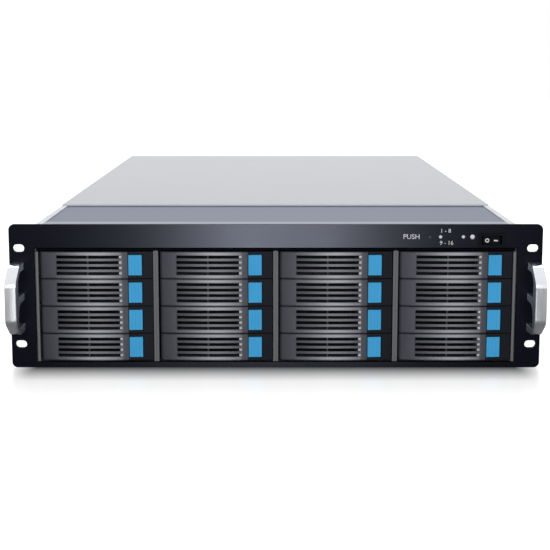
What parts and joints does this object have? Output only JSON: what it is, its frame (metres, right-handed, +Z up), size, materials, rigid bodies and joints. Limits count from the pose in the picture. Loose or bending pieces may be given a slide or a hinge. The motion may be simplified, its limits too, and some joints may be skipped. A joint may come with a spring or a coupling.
{
  "type": "disk shelf enclosure",
  "caption": "Rack-mount disk shelf with slotted hot-swap carrier fronts, push latches, bow handles on the ears, a lift-off cover, rear fans and plug-in supplies.",
  "frame": {"origin": "middle of the footprint, on the surface that the shelf stands on", "axes": "+X to the right seen from the front, +Y from the front to the rear, +Z up"},
  "size_m": [0.4826, 0.745, 0.1326],
  "materials": {
    "body_steel": "plain galvanised sheet",
    "cover_steel": "pale silver satin coating",
    "panel_black": "blue-black satin coating",
    "button_black": "moulded",
    "rocker_black": "moulded",
    "cage_steel": "grey satin coating",
    "board_green": "lacquered circuit board",
    "fan_black": "moulded",
    "module_metal": "plain sheet",
    "handle_silver": "satin anodised",
    "sled_metal": "cast and folded sheet",
    "carrier_grey": "satin moulded",
    "latch_blue": "satin moulded"
  },
  "bodies": {
    "shelf": {"chassis_base": "body_steel", "front_panel": "panel_black", "rack_handles": "handle_silver", "drive_cage": "cage_steel", "backplane": "board_green", "fan_frames": "fan_black", "rear_modules": "module_metal"},
    "cover": {"top_cover": "cover_steel"},
    "reset": {"reset_button": "button_black"},
    "rocker": {"power_rocker": "rocker_black"},
    "fan_left": {"fan_rotor_left": "fan_black"},
    "fan_right": {"fan_rotor_right": "fan_black"},
    "sled_1a": {"sled_1a": "sled_metal"},
    "lever_1a": {"lever_1a": "carrier_grey"},
    "latch_1a": {"latch_1a": "latch_blue"},
    "sled_1b": {"sled_1b": "sled_metal"},
    "lever_1b": {"lever_1b": "carrier_grey"},
    "latch_1b": {"latch_1b": "latch_blue"},
    "sled_1c": {"sled_1c": "sled_metal"},
    "lever_1c": {"lever_1c": "carrier_grey"},
    "latch_1c": {"latch_1c": "latch_blue"},
    "sled_1d": {"sled_1d": "sled_metal"},
    "lever_1d": {"lever_1d": "carrier_grey"},
    "latch_1d": {"latch_1d": "latch_blue"},
    "sled_2a": {"sled_2a": "sled_metal"},
    "lever_2a": {"lever_2a": "carrier_grey"},
    "latch_2a": {"latch_2a": "latch_blue"},
    "sled_2b": {"sled_2b": "sled_metal"},
    "lever_2b": {"lever_2b": "carrier_grey"},
    "latch_2b": {"latch_2b": "latch_blue"},
    "sled_2c": {"sled_2c": "sled_metal"},
    "lever_2c": {"lever_2c": "carrier_grey"},
    "latch_2c": {"latch_2c": "latch_blue"},
    "sled_2d": {"sled_2d": "sled_metal"},
    "lever_2d": {"lever_2d": "carrier_grey"},
    "latch_2d": {"latch_2d": "latch_blue"},
    "sled_3a": {"sled_3a": "sled_metal"},
    "lever_3a": {"lever_3a": "carrier_grey"},
    "latch_3a": {"latch_3a": "latch_blue"},
    "sled_3b": {"sled_3b": "sled_metal"},
    "lever_3b": {"lever_3b": "carrier_grey"},
    "latch_3b": {"latch_3b": "latch_blue"},
    "sled_3c": {"sled_3c": "sled_metal"},
    "lever_3c": {"lever_3c": "carrier_grey"},
    "latch_3c": {"latch_3c": "latch_blue"},
    "sled_3d": {"sled_3d": "sled_metal"},
    "lever_3d": {"lever_3d": "carrier_grey"},
    "latch_3d": {"latch_3d": "latch_blue"},
    "sled_4a": {"sled_4a": "sled_metal"},
    "lever_4a": {"lever_4a": "carrier_grey"},
    "latch_4a": {"latch_4a": "latch_blue"},
    "sled_4b": {"sled_4b": "sled_metal"},
    "lever_4b": {"lever_4b": "carrier_grey"},
    "latch_4b": {"latch_4b": "latch_blue"},
    "sled_4c": {"sled_4c": "sled_metal"},
    "lever_4c": {"lever_4c": "carrier_grey"},
    "latch_4c": {"latch_4c": "latch_blue"},
    "sled_4d": {"sled_4d": "sled_metal"},
    "lever_4d": {"lever_4d": "carrier_grey"},
    "latch_4d": {"latch_4d": "latch_blue"}
  },
  "joints": [
    {"name": "cover_lift", "type": "slide", "parent": "shelf", "child": "cover", "axis": [0, 0, 1], "range_m": [0, 0.15]},
    {"name": "reset_press", "type": "slide", "parent": "shelf", "child": "reset", "axis": [0, 1, 0], "range_m": [0, 0.0015], "stiffness_N_per_m": 300},
    {"name": "rocker_tilt", "type": "hinge", "parent": "shelf", "child": "rocker", "pos_m": [0.19489, -0.3385, 0.11815], "axis": [0, 0, 1], "range_deg": [0, 16]},
    {"name": "fan_left_spin", "type": "hinge", "parent": "shelf", "child": "fan_left", "pos_m": [-0.0514, 0.3368, 0.066], "axis": [0, 1, 0], "continuous": true},
    {"name": "fan_right_spin", "type": "hinge", "parent": "shelf", "child": "fan_right", "pos_m": [0.0366, 0.3368, 0.066], "axis": [0, 1, 0], "continuous": true},
    {"name": "sled_1a_slide", "type": "slide", "parent": "shelf", "child": "sled_1a", "axis": [0, -1, 0], "range_m": [0, 0.17]},
    {"name": "lever_1a_swing", "type": "hinge", "parent": "sled_1a", "child": "lever_1a", "pos_m": [-0.21099, -0.33246, 0.0948], "axis": [0, 0, -1], "range_deg": [0, 75]},
    {"name": "latch_1a_press", "type": "slide", "parent": "sled_1a", "child": "latch_1a", "axis": [0, 1, 0], "range_m": [0, 0.0025], "stiffness_N_per_m": 500},
    {"name": "sled_1b_slide", "type": "slide", "parent": "shelf", "child": "sled_1b", "axis": [0, -1, 0], "range_m": [0, 0.17]},
    {"name": "lever_1b_swing", "type": "hinge", "parent": "sled_1b", "child": "lever_1b", "pos_m": [-0.10207, -0.33246, 0.0948], "axis": [0, 0, -1], "range_deg": [0, 75]},
    {"name": "latch_1b_press", "type": "slide", "parent": "sled_1b", "child": "latch_1b", "axis": [0, 1, 0], "range_m": [0, 0.0025], "stiffness_N_per_m": 500},
    {"name": "sled_1c_slide", "type": "slide", "parent": "shelf", "child": "sled_1c", "axis": [0, -1, 0], "range_m": [0, 0.17]},
    {"name": "lever_1c_swing", "type": "hinge", "parent": "sled_1c", "child": "lever_1c", "pos_m": [0.00685, -0.33246, 0.0948], "axis": [0, 0, -1], "range_deg": [0, 75]},
    {"name": "latch_1c_press", "type": "slide", "parent": "sled_1c", "child": "latch_1c", "axis": [0, 1, 0], "range_m": [0, 0.0025], "stiffness_N_per_m": 500},
    {"name": "sled_1d_slide", "type": "slide", "parent": "shelf", "child": "sled_1d", "axis": [0, -1, 0], "range_m": [0, 0.17]},
    {"name": "lever_1d_swing", "type": "hinge", "parent": "sled_1d", "child": "lever_1d", "pos_m": [0.11577, -0.33246, 0.0948], "axis": [0, 0, -1], "range_deg": [0, 75]},
    {"name": "latch_1d_press", "type": "slide", "parent": "sled_1d", "child": "latch_1d", "axis": [0, 1, 0], "range_m": [0, 0.0025], "stiffness_N_per_m": 500},
    {"name": "sled_2a_slide", "type": "slide", "parent": "shelf", "child": "sled_2a", "axis": [0, -1, 0], "range_m": [0, 0.17]},
    {"name": "lever_2a_swing", "type": "hinge", "parent": "sled_2a", "child": "lever_2a", "pos_m": [-0.21099, -0.33246, 0.0694], "axis": [0, 0, -1], "range_deg": [0, 75]},
    {"name": "latch_2a_press", "type": "slide", "parent": "sled_2a", "child": "latch_2a", "axis": [0, 1, 0], "range_m": [0, 0.0025], "stiffness_N_per_m": 500},
    {"name": "sled_2b_slide", "type": "slide", "parent": "shelf", "child": "sled_2b", "axis": [0, -1, 0], "range_m": [0, 0.17]},
    {"name": "lever_2b_swing", "type": "hinge", "parent": "sled_2b", "child": "lever_2b", "pos_m": [-0.10207, -0.33246, 0.0694], "axis": [0, 0, -1], "range_deg": [0, 75]},
    {"name": "latch_2b_press", "type": "slide", "parent": "sled_2b", "child": "latch_2b", "axis": [0, 1, 0], "range_m": [0, 0.0025], "stiffness_N_per_m": 500},
    {"name": "sled_2c_slide", "type": "slide", "parent": "shelf", "child": "sled_2c", "axis": [0, -1, 0], "range_m": [0, 0.17]},
    {"name": "lever_2c_swing", "type": "hinge", "parent": "sled_2c", "child": "lever_2c", "pos_m": [0.00685, -0.33246, 0.0694], "axis": [0, 0, -1], "range_deg": [0, 75]},
    {"name": "latch_2c_press", "type": "slide", "parent": "sled_2c", "child": "latch_2c", "axis": [0, 1, 0], "range_m": [0, 0.0025], "stiffness_N_per_m": 500},
    {"name": "sled_2d_slide", "type": "slide", "parent": "shelf", "child": "sled_2d", "axis": [0, -1, 0], "range_m": [0, 0.17]},
    {"name": "lever_2d_swing", "type": "hinge", "parent": "sled_2d", "child": "lever_2d", "pos_m": [0.11577, -0.33246, 0.0694], "axis": [0, 0, -1], "range_deg": [0, 75]},
    {"name": "latch_2d_press", "type": "slide", "parent": "sled_2d", "child": "latch_2d", "axis": [0, 1, 0], "range_m": [0, 0.0025], "stiffness_N_per_m": 500},
    {"name": "sled_3a_slide", "type": "slide", "parent": "shelf", "child": "sled_3a", "axis": [0, -1, 0], "range_m": [0, 0.17]},
    {"name": "lever_3a_swing", "type": "hinge", "parent": "sled_3a", "child": "lever_3a", "pos_m": [-0.21099, -0.33246, 0.044], "axis": [0, 0, -1], "range_deg": [0, 75]},
    {"name": "latch_3a_press", "type": "slide", "parent": "sled_3a", "child": "latch_3a", "axis": [0, 1, 0], "range_m": [0, 0.0025], "stiffness_N_per_m": 500},
    {"name": "sled_3b_slide", "type": "slide", "parent": "shelf", "child": "sled_3b", "axis": [0, -1, 0], "range_m": [0, 0.17]},
    {"name": "lever_3b_swing", "type": "hinge", "parent": "sled_3b", "child": "lever_3b", "pos_m": [-0.10207, -0.33246, 0.044], "axis": [0, 0, -1], "range_deg": [0, 75]},
    {"name": "latch_3b_press", "type": "slide", "parent": "sled_3b", "child": "latch_3b", "axis": [0, 1, 0], "range_m": [0, 0.0025], "stiffness_N_per_m": 500},
    {"name": "sled_3c_slide", "type": "slide", "parent": "shelf", "child": "sled_3c", "axis": [0, -1, 0], "range_m": [0, 0.17]},
    {"name": "lever_3c_swing", "type": "hinge", "parent": "sled_3c", "child": "lever_3c", "pos_m": [0.00685, -0.33246, 0.044], "axis": [0, 0, -1], "range_deg": [0, 75]},
    {"name": "latch_3c_press", "type": "slide", "parent": "sled_3c", "child": "latch_3c", "axis": [0, 1, 0], "range_m": [0, 0.0025], "stiffness_N_per_m": 500},
    {"name": "sled_3d_slide", "type": "slide", "parent": "shelf", "child": "sled_3d", "axis": [0, -1, 0], "range_m": [0, 0.17]},
    {"name": "lever_3d_swing", "type": "hinge", "parent": "sled_3d", "child": "lever_3d", "pos_m": [0.11577, -0.33246, 0.044], "axis": [0, 0, -1], "range_deg": [0, 75]},
    {"name": "latch_3d_press", "type": "slide", "parent": "sled_3d", "child": "latch_3d", "axis": [0, 1, 0], "range_m": [0, 0.0025], "stiffness_N_per_m": 500},
    {"name": "sled_4a_slide", "type": "slide", "parent": "shelf", "child": "sled_4a", "axis": [0, -1, 0], "range_m": [0, 0.17]},
    {"name": "lever_4a_swing", "type": "hinge", "parent": "sled_4a", "child": "lever_4a", "pos_m": [-0.21099, -0.33246, 0.0186], "axis": [0, 0, -1], "range_deg": [0, 75]},
    {"name": "latch_4a_press", "type": "slide", "parent": "sled_4a", "child": "latch_4a", "axis": [0, 1, 0], "range_m": [0, 0.0025], "stiffness_N_per_m": 500},
    {"name": "sled_4b_slide", "type": "slide", "parent": "shelf", "child": "sled_4b", "axis": [0, -1, 0], "range_m": [0, 0.17]},
    {"name": "lever_4b_swing", "type": "hinge", "parent": "sled_4b", "child": "lever_4b", "pos_m": [-0.10207, -0.33246, 0.0186], "axis": [0, 0, -1], "range_deg": [0, 75]},
    {"name": "latch_4b_press", "type": "slide", "parent": "sled_4b", "child": "latch_4b", "axis": [0, 1, 0], "range_m": [0, 0.0025], "stiffness_N_per_m": 500},
    {"name": "sled_4c_slide", "type": "slide", "parent": "shelf", "child": "sled_4c", "axis": [0, -1, 0], "range_m": [0, 0.17]},
    {"name": "lever_4c_swing", "type": "hinge", "parent": "sled_4c", "child": "lever_4c", "pos_m": [0.00685, -0.33246, 0.0186], "axis": [0, 0, -1], "range_deg": [0, 75]},
    {"name": "latch_4c_press", "type": "slide", "parent": "sled_4c", "child": "latch_4c", "axis": [0, 1, 0], "range_m": [0, 0.0025], "stiffness_N_per_m": 500},
    {"name": "sled_4d_slide", "type": "slide", "parent": "shelf", "child": "sled_4d", "axis": [0, -1, 0], "range_m": [0, 0.17]},
    {"name": "lever_4d_swing", "type": "hinge", "parent": "sled_4d", "child": "lever_4d", "pos_m": [0.11577, -0.33246, 0.0186], "axis": [0, 0, -1], "range_deg": [0, 75]},
    {"name": "latch_4d_press", "type": "slide", "parent": "sled_4d", "child": "latch_4d", "axis": [0, 1, 0], "range_m": [0, 0.0025], "stiffness_N_per_m": 500}
  ]
}
